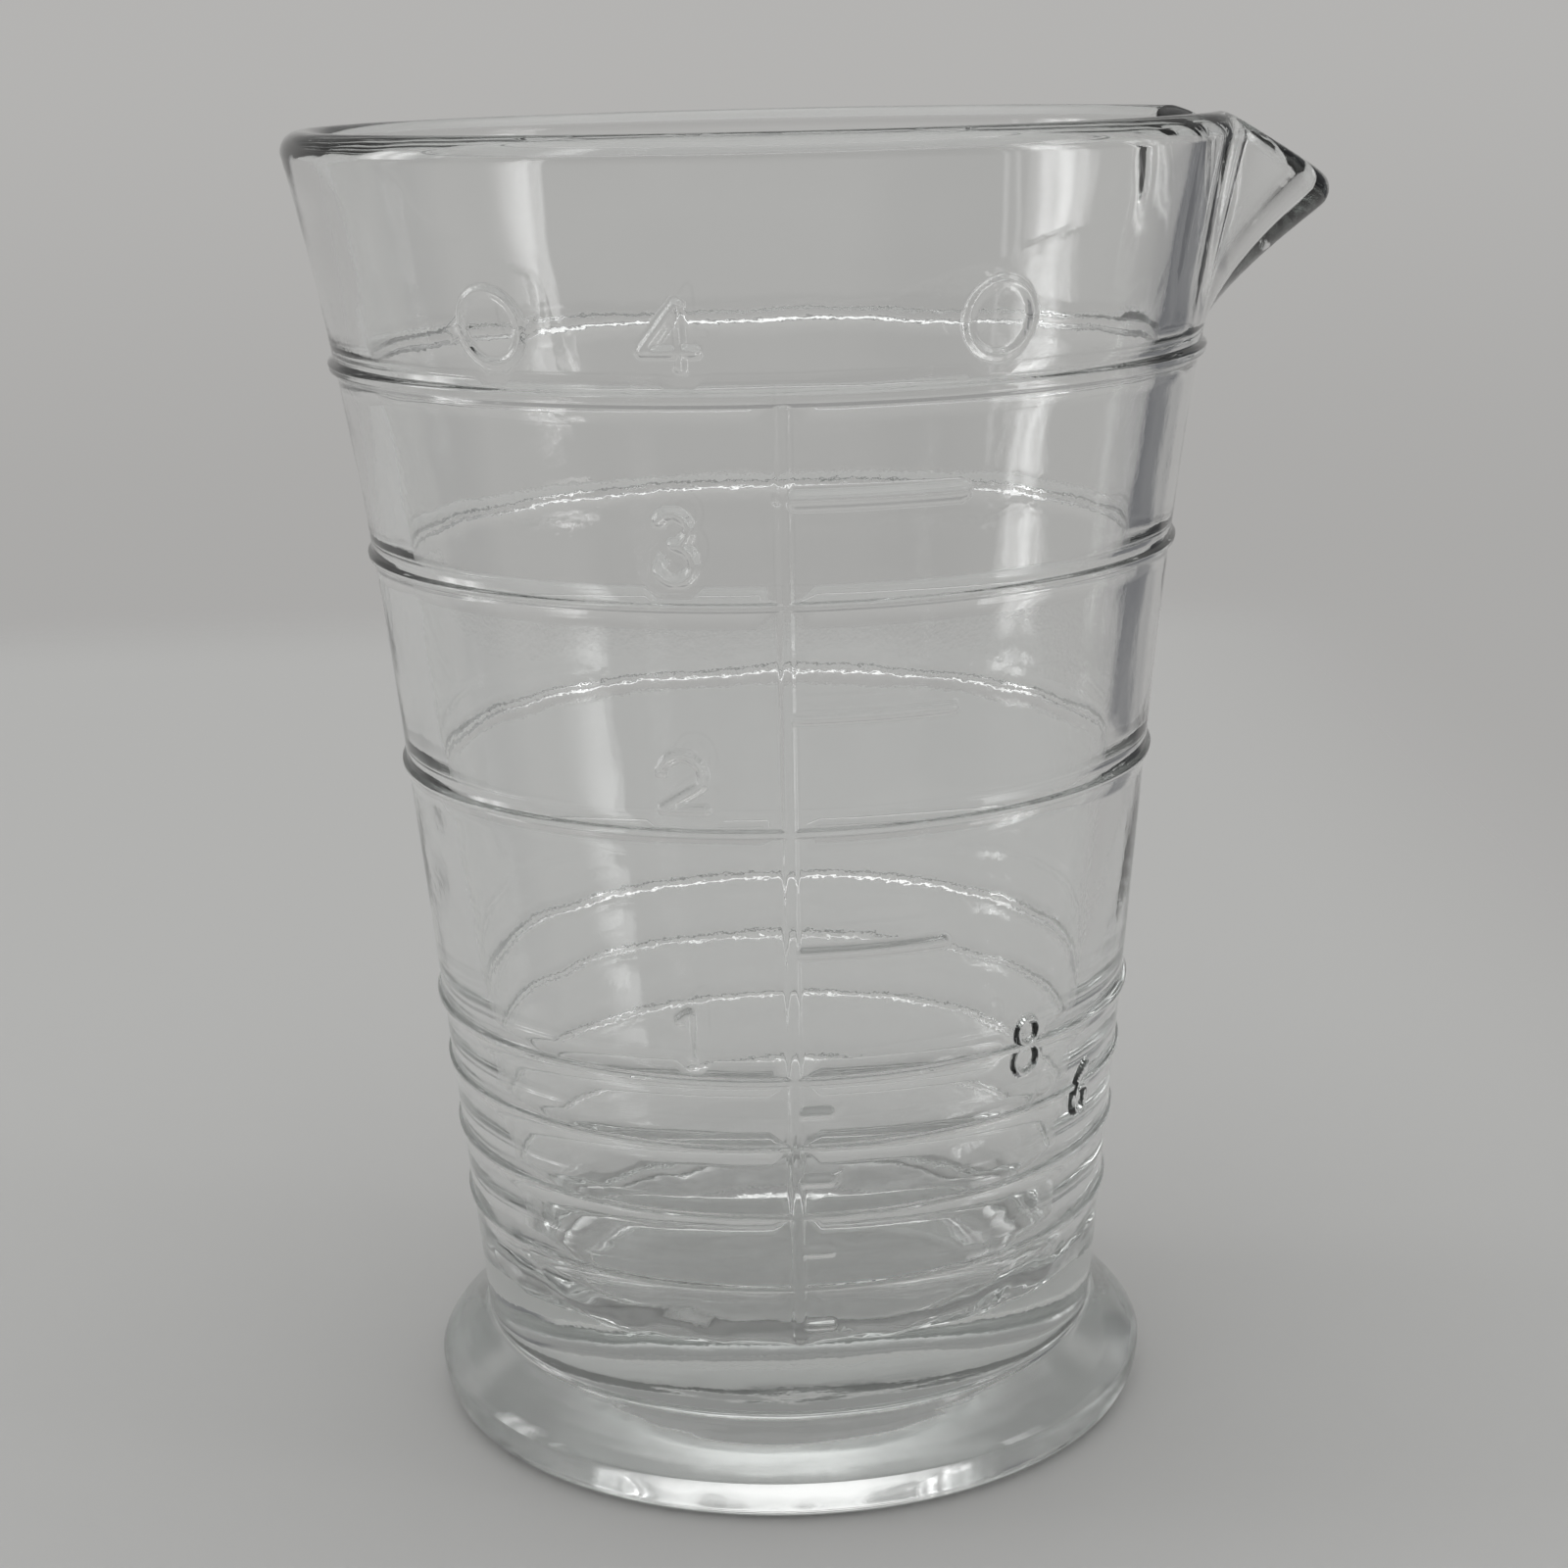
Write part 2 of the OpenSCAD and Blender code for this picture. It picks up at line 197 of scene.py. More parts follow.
def vertex_places(mesh: bpy.types.Mesh) -> Array:
    """Read a mesh's vertices.

    Args:
        mesh: The mesh to read.

    Returns:
        One row of x, y, z in metres for each vertex.
    """
    places = np.empty(len(mesh.vertices) * 3)
    mesh.vertices.foreach_get("co", places)
    return places.reshape(-1, 3)


def move_vertices(mesh: bpy.types.Mesh, places: Array) -> None:
    """Put a mesh's vertices at new places.

    Args:
        mesh: The mesh to change.
        places: One row of x, y, z in metres for each vertex.
    """
    mesh.vertices.foreach_set("co", places.ravel())
    mesh.update()


def round_axis(places: Array) -> tuple[Array, Array, Array]:
    """Radius, angle in degrees and height of each of the places."""
    across, deep, height = places.T
    return np.hypot(across, deep), np.degrees(np.arctan2(deep, across)), height


class Wiring:
    """Adds nodes to a tree, each by the value that it works out."""

    def __init__(self, tree: bpy.types.NodeTree) -> None:
        """Take the tree to add to."""
        self.nodes, self.links = tree.nodes, tree.links

    def feed(self, socket: Socket, value: Socket | Color | float) -> None:
        """Link a socket's value, or set it where it is a plain number or colour."""
        if isinstance(value, Socket):
            self.links.new(value, socket)
        elif isinstance(value, tuple):
            socket.default_value = (*value, 1.0)
        else:
            socket.default_value = value

    def work_out(self, operation: str, *values: Socket | float) -> Socket:
        """Work out one value from others."""
        node = self.nodes.new("ShaderNodeMath")
        node.operation = operation
        for socket, value in zip(node.inputs, values):
            self.feed(socket, value)
        return node.outputs["Value"]

    def product(self, total: Socket, *others: Socket | float) -> Socket:
        """Multiply values."""
        for other in others:
            total = self.work_out("MULTIPLY", total, other)
        return total

    def share(self, value: Socket, first: float, last: float, easing: Easing = Easing.SOFT) -> Socket:
        """Run from 0 at the first value to 1 at the last, and stay level beyond them."""
        node = self.nodes.new("ShaderNodeMapRange")
        node.interpolation_type = easing.value
        self.feed(node.inputs["From Min"], first)
        self.feed(node.inputs["From Max"], last)
        self.feed(node.inputs["Value"], value)
        return node.outputs["Result"]

    def band(self, value: Socket, low: float, low_soft: float, high: float, high_soft: float) -> Socket:
        """Give 1 between two values and 0 beyond them, with soft ends."""
        return self.product(self.share(value, low - low_soft, low + low_soft),
                            self.share(value, high + high_soft, high - high_soft))

    def blend(self, part: Socket, first: Socket | Color, second: Color) -> Socket:
        """Blend two colours."""
        node = self.nodes.new("ShaderNodeMix")
        node.data_type = "RGBA"
        for name, value in (("Factor", part), ("A", first), ("B", second)):
            self.feed(node.inputs[name], value)
        return node.outputs["Result"]


@dataclass(frozen=True)
class Wall:
    """The bowl's wall: a straight taper that flares towards the rim. Sizes are in millimetres."""

    height: float = 93.58
    neck_r: float = 22.85
    lean: float = 5.36
    rim_flare: float = 2.58
    flare_share: float = 0.513
    flare_power: float = 2.5
    base: float = 3.45
    middle: float = 2.7
    rim: float = 2.9
    foot_h: float = 6.3
    floor_rise: float = 3.8
    floor_fillet: float = 4.5

    @property
    def floor_z(self) -> float:
        """Height of the inner floor."""
        return self.foot_h + self.floor_rise

    @property
    def lip_z(self) -> float:
        """Height of the centre of the rounded rim."""
        return self.height - self.rim / 2

    def outer(self, z: Array | float) -> Array:
        """Outer radius at a height, rings left out."""
        start = self.flare_share * self.height
        flare = np.maximum(np.asarray(z) - start, 0.0) / (self.height - start)
        taper = self.neck_r + math.tan(math.radians(self.lean)) * (np.asarray(z) - self.foot_h)
        return taper + self.rim_flare * flare ** self.flare_power

    def thickness(self, z: Array | float) -> Array:
        """Thickness of the wall at a height, measured level."""
        middle_z = (self.foot_h + self.height) / 2
        return np.interp(z, [self.foot_h, middle_z, self.height], [self.base, self.middle, self.rim])

    def inner(self, z: Array | float) -> Array:
        """Inner radius at a height above the floor's fillet."""
        return self.outer(z) - self.thickness(z)

    def lean_at(self, z: float) -> float:
        """Angle in radians between the outer wall and the upright at a height."""
        step = 0.05
        return math.atan((self.outer(z + step) - self.outer(z - step)) / (2 * step))


@dataclass(frozen=True)
class Ring:
    """A raised ring round the bowl. Sizes are in millimetres."""

    level: float
    width: float
    height: float
    steps: int = 7
    steepness: float = 1.5

    def bead(self, z: Array | float) -> Array:
        """Height of the ring above the wall at a height."""
        off = np.abs(np.asarray(z) - self.level) / (self.width / 2)
        return self.height * smooth((1 - off) * self.steepness)

    def stops(self) -> list[float]:
        """Heights at which the outline needs a point to draw the ring."""
        half = self.width / 2
        return [self.level + half * i / self.steps for i in range(-self.steps, self.steps + 1)]

    @classmethod
    def from_node(cls, node: str, height: float, kind: RingKind) -> "Ring":
        """Take a ring's level and width from its CAD node.

        Args:
            node: The CAD node's name.
            height: How far the ring stands proud, in millimetres.
            kind: Which of the two scales the ring belongs to.

        Returns:
            The ring.
        """
        low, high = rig.box(node)
        return cls(level=(low.z + high.z) / 2 / MM, width=(high.z - low.z) / MM * kind.value, height=height)


@dataclass(frozen=True)
class Foot:
    """The thick round foot with a shallow hollow beneath it. Sizes are in millimetres."""

    radius: float = 26.6
    waist_z: float = 3.0
    edge_r: float = 25.2
    hollow_r: float = 17.6
    hollow_edge: float = 0.9
    hollow_depth: float = 0.8
    shoulder_power: float = 1.35
    shoulder_end: int = 72
    shoulder_step: int = 3
    cove: float = 0.5
    cove_steps: int = 6
    flat_steps: int = 8
    curve_steps: int = 10

    def hollow(self) -> list[Point]:
        """Draw the flat hollow, the soft step at its edge and the ring that stands on the table."""
        flat_r, count = self.hollow_r - self.hollow_edge, self.flat_steps
        inside = [(flat_r * i / count, self.hollow_depth) for i in range(count)]
        step = []
        for i in range(self.curve_steps + 1):
            t = i / self.curve_steps
            step.append((flat_r + self.hollow_edge * t, self.hollow_depth * (1 - float(smooth(t)))))
        ring = [(self.hollow_r + (self.edge_r - self.hollow_r) * i / count, 0.0) for i in range(1, count)]
        return inside + step + ring

    def shoulder_point(self, wall: Wall, angle: float) -> Point:
        """A point of the foot's upper side, from its widest line at 0 degrees to the neck at 90."""
        a, power = math.radians(angle), 2 / self.shoulder_power
        return (wall.neck_r + (self.radius - wall.neck_r) * math.cos(a) ** power,
                self.waist_z + (wall.foot_h - self.waist_z) * math.sin(a) ** power)

    def outline(self, wall: Wall) -> list[Point]:
        """Draw the foot's half section.

        Args:
            wall: The wall that rises from the foot.

        Returns:
            Points from the middle of the hollow out and up to just under the neck.
        """
        waist = []
        for i in range(self.curve_steps + 1):
            a = math.radians(90 / self.curve_steps * i)
            waist.append((self.edge_r + (self.radius - self.edge_r) * math.sin(a),
                          self.waist_z * (1 - math.cos(a))))
        angles = range(self.shoulder_step, self.shoulder_end + 1, self.shoulder_step)
        shoulder = [self.shoulder_point(wall, angle) for angle in angles]
        first, corner = shoulder[-1], (wall.neck_r, wall.foot_h)
        top = (float(wall.outer(wall.foot_h + self.cove)), wall.foot_h + self.cove)
        cove = []
        for i in range(1, self.cove_steps):
            t = i / self.cove_steps
            cove.append(tuple((1 - t) ** 2 * a + 2 * t * (1 - t) * b + t * t * c
                              for a, b, c in zip(first, corner, top)))
        return self.hollow() + waist + shoulder + cove


@dataclass(frozen=True)
class Spout:
    """The pouring spout: the wall is drawn out to a keel between two creases. Sizes are in millimetres."""

    wall: Wall
    start_z: float
    half_angle: float = 17.0
    reach: float = 6.6
    drop: float = 4.4
    roundness: float = 0.2
    bend: float = 0.32
    margin: float = 1.0

    @property
    def rim_lean(self) -> float:
        """Lean of the rim in radians."""
        return self.wall.lean_at(self.wall.lip_z)

    def keel_nodes(self) -> tuple[Array, Array, Array]:
        """Start, bend and end of the keel's curve, as radius and height."""
        wall = self.wall
        start = np.array([wall.outer(self.start_z) - wall.thickness(self.start_z) / 2, self.start_z])
        end = np.array([wall.outer(wall.lip_z) + self.reach - wall.rim / 2,
                        wall.height - self.drop - wall.rim / 2])
        rise = (end[1] - start[1]) * self.bend
        return start, start + np.array([math.tan(self.rim_lean) * rise, rise]), end

    def keel(self, radius: Array, height: Array) -> tuple[Array, Array]:
        """Find where points of the plain wall go at the keel.

        Args:
            radius: Radius of each point of the plain wall or rim.
            height: Height of each point.

        Returns:
            Radius and height of each point at the keel.
        """
        wall = self.wall
        start, bend, end = self.keel_nodes()
        t = np.clip((height - self.start_z) / (wall.lip_z - self.start_z), 0.0, 1.0)[:, None]
        line = (1 - t) ** 2 * start + 2 * t * (1 - t) * bend + t ** 2 * end
        way = (1 - t) * (bend - start) + t * (end - bend)
        way /= np.linalg.norm(way, axis=1)[:, None]
        half = (1 - t[:, 0]) * wall.thickness(self.start_z) / 2 + t[:, 0] * wall.rim / 2
        middle = wall.outer(height) - wall.thickness(height) / 2
        across = (radius - middle) / (wall.thickness(height) / 2)
        place = line + (across * half)[:, None] * np.stack([way[:, 1], -way[:, 0]], axis=1)
        lip = np.array([wall.outer(wall.lip_z) - wall.rim / 2, wall.lip_z])
        from_lip = np.stack([radius, height], axis=1) - lip
        along = np.array([math.sin(self.rim_lean), math.cos(self.rim_lean)])
        beyond = from_lip @ along > 0
        last_way = (end - bend) / np.linalg.norm(end - bend)
        turn = math.atan2(last_way[0], last_way[1]) - self.rim_lean
        turned = from_lip @ np.array([[math.cos(turn), -math.sin(turn)], [math.sin(turn), math.cos(turn)]])
        place[beyond] = (end + turned)[beyond]
        return place[:, 0], place[:, 1]

    def swell(self, u: Array) -> Array:
        """How strongly the keel shows: 1 at the keel, 0 at the creases u = -1 and 1."""
        top = math.hypot(1, self.roundness)
        return np.clip((top - np.hypot(u, self.roundness)) / (top - self.roundness), 0.0, 1.0)

    def draw_out(self, places: Array) -> Array:
        """Move the part of the wall and rim that lies between the creases.

        Args:
            places: One row of x, y, z in millimetres for each vertex.

        Returns:
            The places with the spout drawn out.
        """
        radius, angle, height = round_axis(places)
        angle = angle - SPOUT_AT
        inside = (np.abs(angle) < self.half_angle) & (height > self.start_z)
        inside &= radius > self.wall.inner(self.start_z) - self.margin
        radius, angle, height = radius[inside], angle[inside], height[inside]
        keel_r, keel_z = self.keel(radius, height)
        share = self.swell(angle / self.half_angle)
        new_r = radius + share * (keel_r - radius)
        new_z = height + share * (keel_z - height)
        a = np.radians(angle + SPOUT_AT)
        drawn = places.copy()
        drawn[inside] = np.stack([new_r * np.cos(a), new_r * np.sin(a), new_z], axis=1)
        return drawn


def line_distance(x: Array, y: Array, start: Point, end: Point) -> Array:
    """Distance from points to a straight stroke's middle line.

    Args:
        x: Places across.
        y: Places up.
        start: One end of the line.
        end: The other end.

    Returns:
        The distance of each point.
    """
    dx, dy = end[0] - start[0], end[1] - start[1]
    length = dx * dx + dy * dy
    t = np.clip(((x - start[0]) * dx + (y - start[1]) * dy) / max(length, 1e-9), 0.0, 1.0)
    return np.hypot(x - start[0] - t * dx, y - start[1] - t * dy)


def arc_distance(x: Array, y: Array, centre: Point, radius: float, first: float, last: float) -> Array:
    """Distance from points to an arc.

    Args:
        x: Places across.
        y: Places up.
        centre: The arc's centre.
        radius: The arc's radius.
        first: Angle in degrees at which the arc starts.
        last: Angle in degrees at which it ends, going anticlockwise.

    Returns:
        The distance of each point.
    """
    angle = np.degrees(np.arctan2(y - centre[1], x - centre[0]))
    into = np.mod(angle - first, 360.0)
    on_arc = into <= last - first
    rest = []
    for a in (math.radians(first), math.radians(last)):
        rest.append(np.hypot(x - centre[0] - radius * math.cos(a), y - centre[1] - radius * math.sin(a)))
    return np.where(on_arc, np.abs(np.hypot(x - centre[0], y - centre[1]) - radius), np.minimum(*rest))


@dataclass(frozen=True)
class Marking:
    """A flat drawing raised on the wall. Sizes are in millimetres, angles in degrees.

    x runs round the wall to the right of the angle, y runs up from the base height. Past the widest turn, in
    radians, the wall counts as far away, by that many radii.
    """

    name: str
    angle: float
    base_z: float
    half_stroke: float
    distance: Callable[[Array, Array], Array]
    height: float = 0.4
    fullness: float = 3.0
    widest_turn: float = 1.2
    far_away: float = 2.0

    def distance_at(self, wall: Wall, angle: Array, z: Array) -> Array:
        """Distance of points of the wall from the nearest stroke's middle line."""
        turn = np.radians((angle - self.angle + 180.0) % 360.0 - 180.0)
        across = np.where(np.abs(turn) < self.widest_turn, np.sin(turn), np.sign(turn) * self.far_away)
        x = wall.outer(z) * across
        return self.distance(x, z - self.base_z)

    def relief(self, wall: Wall, angle: Array, z: Array) -> Array:
        """Height of the drawing above the wall at points of it."""
        off = np.minimum(self.distance_at(wall, angle, z) / self.half_stroke, 1.0)
        return self.height * (1 - off ** self.fullness)


@dataclass(frozen=True)
class NumeralDrawing:
    """Plain numerals drawn with round strokes in a box that stands on y = 0. Sizes are in millimetres."""

    digit: int
    width: float
    height: float
    stroke: float = 0.7
    upper_share: float = 0.23
    flag: float = 0.2
    flag_drop: float = 0.26
    bar_reach: float = 0.56
    bar_rise: float = 0.3

    def distance(self, x: Array, y: Array) -> Array:
        """Distance of points from the numeral's nearest stroke."""
        return np.minimum.reduce([stroke(x, y) for stroke in self.strokes()])

    def strokes(self) -> list[Callable[[Array, Array], Array]]:
        """List the numeral's strokes.

        Returns:
            One distance function for each stroke.
        """
        w, h, s = self.width, self.height, self.stroke / 2
        upper = (h - self.stroke) * self.upper_share
        lower = (h - self.stroke) / 2 - upper
        loop = (h - self.stroke) / 4
        r = w / 2 - s
        slant = (r * math.cos(math.radians(30)), h - s - 1.5 * r)
        top, bar_left = (w * self.flag, h - s), (s - w * self.bar_reach, h * self.bar_rise)

        def line(start: Point, end: Point) -> Callable[[Array, Array], Array]:
            """One straight stroke."""
            return lambda x, y: line_distance(x, y, start, end)

        def arc(centre: Point, radius: float, first: float, last: float) -> Callable[[Array, Array], Array]:
            """One bent stroke."""
            return lambda x, y: arc_distance(x, y, centre, radius, first, last)

        drawings = {
            1: [line((0, s), (0, h - s)), line((0, h - s), (-w * self.flag, h - w * self.flag_drop))],
            2: [arc((0, h - s - r), r, -30, 170), line(slant, (-r, s)), line((-r, s), (r, s))],
            3: [arc((0, h - s - upper), upper, -90, 150), arc((0, s + lower), lower, -150, 90)],
            4: [line((top[0], s), top), line(top, bar_left), line(bar_left, (-bar_left[0], bar_left[1]))],
            6: [arc((0, s + loop), loop, 0, 360), arc((2 * loop, s + loop), 3 * loop, 112, 180)],
            8: [arc((0, h - s - upper), upper, 0, 360), arc((0, s + lower), lower, 0, 360)],
        }
        return drawings[self.digit]


@dataclass
class Scale:
    """The upright line, the half-ounce and dram lines, the numerals and the blank roundels.

    Sizes are in millimetres, angles in degrees.
    """

    wall: Wall
    spine_w: float = 1.05
    top_bar_w: float = 1.15
    bar_w: float = 0.85
    bar_angle: float = 23.5
    dash_w: float = 0.8
    dash_l: float = 2.0
    numeral_w: float = 3.5
    dram_numeral_w: float = 2.8
    dram_numeral_start: float = 39.3
    dram_numeral_step: float = 15.9
    numeral_offset: float = 6.8
    stroke: float = 0.7
    numeral_height: float = 0.46
    numeral_fullness: float = 5.0
    dram_stroke: float = 0.5
    roundel_stroke: float = 0.6
    roundel_height: float = 0.2
    roundel_angles: Span = (-35.0, 26.0)
    line_fullness: float = 3.5
    markings: list[Marking] = field(default_factory=list)

    def line_round(self, name: str, z: float, width: float, length: float) -> Marking:
        """A line round the wall that starts at the upright line and has a round end."""
        end = (length - width / 2, 0.0)
        return Marking(name, SCALE_AT, z, width / 2, lambda x, y: line_distance(x, y, (0.0, 0.0), end),
                       fullness=self.line_fullness)

    def add_lines(self) -> None:
        """Add the upright line and every line that starts from it."""
        low, high = (c.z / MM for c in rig.box("scale_spine"))
        tall = high - low
        self.markings.append(Marking("spine", SCALE_AT, low, self.spine_w / 2,
                                     lambda x, y: line_distance(x, y, (0.0, 0.0), (0.0, tall)),
                                     fullness=self.line_fullness))
        for n, width in ((3, self.top_bar_w), (2, self.bar_w), (1, self.bar_w)):
            z = self.level_of(f"half_ounce_bar_{n}")
            length = self.wall.outer(z) * math.sin(math.radians(self.bar_angle))
            self.markings.append(self.line_round(f"bar_{n}", z, width, length))
        for z in self.dash_levels():
            self.markings.append(self.line_round("dash", z, self.dash_w, self.spine_w / 2 + self.dash_l))

    def level_of(self, node: str) -> float:
        """Height of the middle of a CAD node."""
        low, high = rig.box(node)
        return (low.z + high.z) / 2 / MM

    def dash_levels(self) -> list[float]:
        """Heights of the four short dram lines, from the vertices of their CAD node."""
        heights = np.sort(vertex_places(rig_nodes()["dram_dashes"].data)[:, 2]) / MM
        gaps = np.where(np.diff(heights) > self.dash_w)[0]
        groups = np.split(heights, gaps + 1)
        return [float((g[0] + g[-1]) / 2) for g in groups]

    def add_numerals(self) -> None:
        """Add the ounce numerals, the dram numerals and the two blank roundels."""
        for n in (4, 3, 2, 1):
            low, high = (c.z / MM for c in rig.box(f"numeral_{n}_ounce"))
            drawing = NumeralDrawing(n, self.numeral_w, high - low, self.stroke)
            angle = SCALE_AT - math.degrees(math.asin(self.numeral_offset / self.wall.outer(low)))
            self.markings.append(Marking(f"ounce_{n}", angle, low, self.stroke / 2, drawing.distance,
                                         self.numeral_height, self.numeral_fullness))
        for i, n in enumerate((8, 6)):
            low, high = (c.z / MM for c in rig.box(f"numeral_{n}_dram"))
            drawing = NumeralDrawing(n, self.dram_numeral_w, high - low, self.dram_stroke)
            angle = SCALE_AT + self.dram_numeral_start + self.dram_numeral_step * i
            self.markings.append(Marking(f"dram_{n}", angle, low, self.dram_stroke / 2, drawing.distance))
        low, high = (c.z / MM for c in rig.box("blank_roundels"))
        radius = (high - low) / 2
        line_r = radius - self.roundel_stroke / 2
        for angle in self.roundel_angles:
            self.markings.append(Marking("roundel", SCALE_AT + angle, low + radius, self.roundel_stroke / 2,
                                         lambda x, y: np.abs(np.hypot(x, y) - line_r), self.roundel_height))

    def relief(self, angle: Array, z: Array) -> Array:
        """Height of the tallest marking above the wall at points of it."""
        return np.maximum.reduce([m.relief(self.wall, angle, z) for m in self.markings])

    def nearest(self, angle: Array, z: Array) -> Array:
        """Distance of points of the wall from the edge of the nearest stroke."""
        return np.minimum.reduce([m.distance_at(self.wall, angle, z) - m.half_stroke for m in self.markings])


@dataclass(frozen=True)
class ChillRipple:
    """The uneven inner corner, hollow and foot that cool tools leave on pressed glass.

    Sizes are in millimetres.
    """

    depth: float = 0.36
    length: float = 3.8
    squash: float = 1.6
    fine_depth: float = 0.45
    fine_scale: float = 2.7
    fine_offset: tuple[float, float, float] = (7.0, 3.0, 1.0)
    calm_r: float = 10.0
    calm_fade: float = 6.0
    inward: float = 0.9
    reach: float = 7.0
    hollow_depth: float = 0.07
    hollow_length: float = 3.2
    hollow_slice: float = 5.0
    tooling_depth: float = 0.035
    tooling_pitch: float = 0.75
    tooling_turns: float = 4.5

    def ripple(self, places: Array, floor_z: float) -> Array:
        """Move inner points along the axis and towards it, but leave the middle of the floor calm.

        Args:
            places: One row of x, y, z in millimetres for each vertex.
            floor_z: Height of the inner floor.

        Returns:
            The moved places.
        """
        moved = places.copy()
        fade = smooth(1 - (places[:, 2] - floor_z) / self.reach)
        for i in np.nonzero(fade > 0)[0]:
            x, y, z = places[i]
            where = Vector((x, y, z * self.squash)) / self.length
            fine = noise.noise(where * self.fine_scale + Vector(self.fine_offset))
            push = self.depth * fade[i] * (noise.noise(where) + self.fine_depth * fine)
            radius = math.hypot(x, y)
            corner = min(1.0, max(0.0, (radius - self.calm_r) / self.calm_fade))
            moved[i, 2] += push * corner
            if corner > 0:
                moved[i, :2] *= 1 - push * self.inward * corner / radius
        return moved

    def dimple(self, places: Array) -> Array:
        """Move points of the hollow under the foot up and down.

        Args:
            places: One row of x, y, z in millimetres for each vertex.

        Returns:
            The moved places.
        """
        moved = places.copy()
        for i, (x, y, _) in enumerate(places):
            where = Vector((x, y, self.hollow_slice)) / self.hollow_length
            moved[i, 2] += self.hollow_depth * noise.noise(where)
        return moved

    def tool(self, places: Array) -> Array:
        """Leave faint marks of turning round the foot's upper side.

        Args:
            places: One row of x, y, z in millimetres for each vertex.

        Returns:
            The moved places.
        """
        moved = places.copy()
        for i, (x, y, z) in enumerate(places):
            radius = math.hypot(x, y)
            turned = Vector((x / radius, y / radius, 0.0)) * self.tooling_turns
            turned.z = (radius - z) / self.tooling_pitch
            moved[i, 2] += self.tooling_depth * noise.noise(turned)
        return moved


@dataclass(frozen=True)
class GlassFinish:
    """Clear soda glass with the surface that a mould and a plunger leave. Sizes are in millimetres."""

    name: str = "pressed_glass"
    ior: float = 1.5
    worn_roughness: float = 0.17
    tint: Color = (0.995, 0.998, 0.997)
    absorb: Color = (0.74, 0.77, 0.755)
    absorb_density: float = 17.0
    pebble_size: float = 0.8
    pebble_depth: float = 0.005
    wave_size: float = 9.0
    wave_depth: float = 0.10

    def material(self) -> bpy.types.Material:
        """Build the glass's node material.

        Returns:
            The material.
        """
        material = bpy.data.materials.new(self.name)
        material.use_nodes = True
        nodes, links = material.node_tree.nodes, material.node_tree.links
        shader = nodes["Principled BSDF"]
        shader.inputs["Base Color"].default_value = (*self.tint, 1.0)
        shader.inputs["IOR"].default_value = self.ior
        shader.inputs["Transmission Weight"].default_value = 1.0
        surface = nodes.new("ShaderNodeGroup")
        surface.node_tree = pressed_surface_group()
        surface.inputs["Pebble Scale"].default_value = 1 / (self.pebble_size * MM)
        surface.inputs["Pebble Depth"].default_value = self.pebble_depth
        surface.inputs["Wave Scale"].default_value = 1 / (self.wave_size * MM)
        surface.inputs["Wave Depth"].default_value = self.wave_depth
        bump = nodes.new("ShaderNodeBump")
        bump.inputs["Strength"].default_value = 1.0
        bump.inputs["Distance"].default_value = MM
        worn, dull = nodes.new("ShaderNodeAttribute"), nodes.new("ShaderNodeMapRange")
        worn.attribute_name = WEAR_MASK
        dull.inputs["To Max"].default_value = self.worn_roughness
        links.new(worn.outputs["Fac"], dull.inputs["Value"])
        links.new(dull.outputs["Result"], shader.inputs["Roughness"])
        links.new(surface.outputs["Height"], bump.inputs["Height"])
        links.new(bump.outputs["Normal"], shader.inputs["Normal"])
        volume = nodes.new("ShaderNodeVolumeAbsorption")
        volume.inputs["Color"].default_value = (*self.absorb, 1.0)
        volume.inputs["Density"].default_value = self.absorb_density
        links.new(volume.outputs["Volume"], nodes["Material Output"].inputs["Volume"])
        return material


def pressed_surface_group() -> bpy.types.NodeTree:
    """Build the node group that gives the height of a pressed glass surface.

    Returns:
        The group, with scales per metre and depths in millimetres.
    """
    group = bpy.data.node_groups.new("pressed_surface", "ShaderNodeTree")
    for name in ("Pebble Scale", "Pebble Depth", "Wave Scale", "Wave Depth"):
        group.interface.new_socket(name=name, in_out="INPUT", socket_type="NodeSocketFloat")
    group.interface.new_socket(name="Height", in_out="OUTPUT", socket_type="NodeSocketFloat")
    grain = 0.55
    wiring = Wiring(group)
    nodes, links = group.nodes, group.links
    given, out = nodes.new("NodeGroupInput"), nodes.new("NodeGroupOutput")
    place, mould = nodes.new("ShaderNodeTexCoord"), nodes.new("ShaderNodeAttribute")
    mould.attribute_name = MOULD_MASK
    heights = []
    for kind, detail in (("Pebble", 2.0), ("Wave", 1.0)):
        pattern = nodes.new("ShaderNodeTexNoise")
        pattern.inputs["Detail"].default_value = detail
        pattern.inputs["Roughness"].default_value = grain
        links.new(place.outputs["Object"], pattern.inputs["Vector"])
        links.new(given.outputs[f"{kind} Scale"], pattern.inputs["Scale"])
        heights.append(wiring.product(pattern.outputs["Fac"], given.outputs[f"{kind} Depth"]))
    total = wiring.work_out("ADD", wiring.product(heights[0], mould.outputs["Fac"]), heights[1])
    links.new(total, out.inputs["Height"])
    return group


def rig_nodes() -> dict[str, bpy.types.Object]:
    """The CAD nodes by name."""
    return {o.name: o for o in bpy.data.objects if "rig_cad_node" in o}


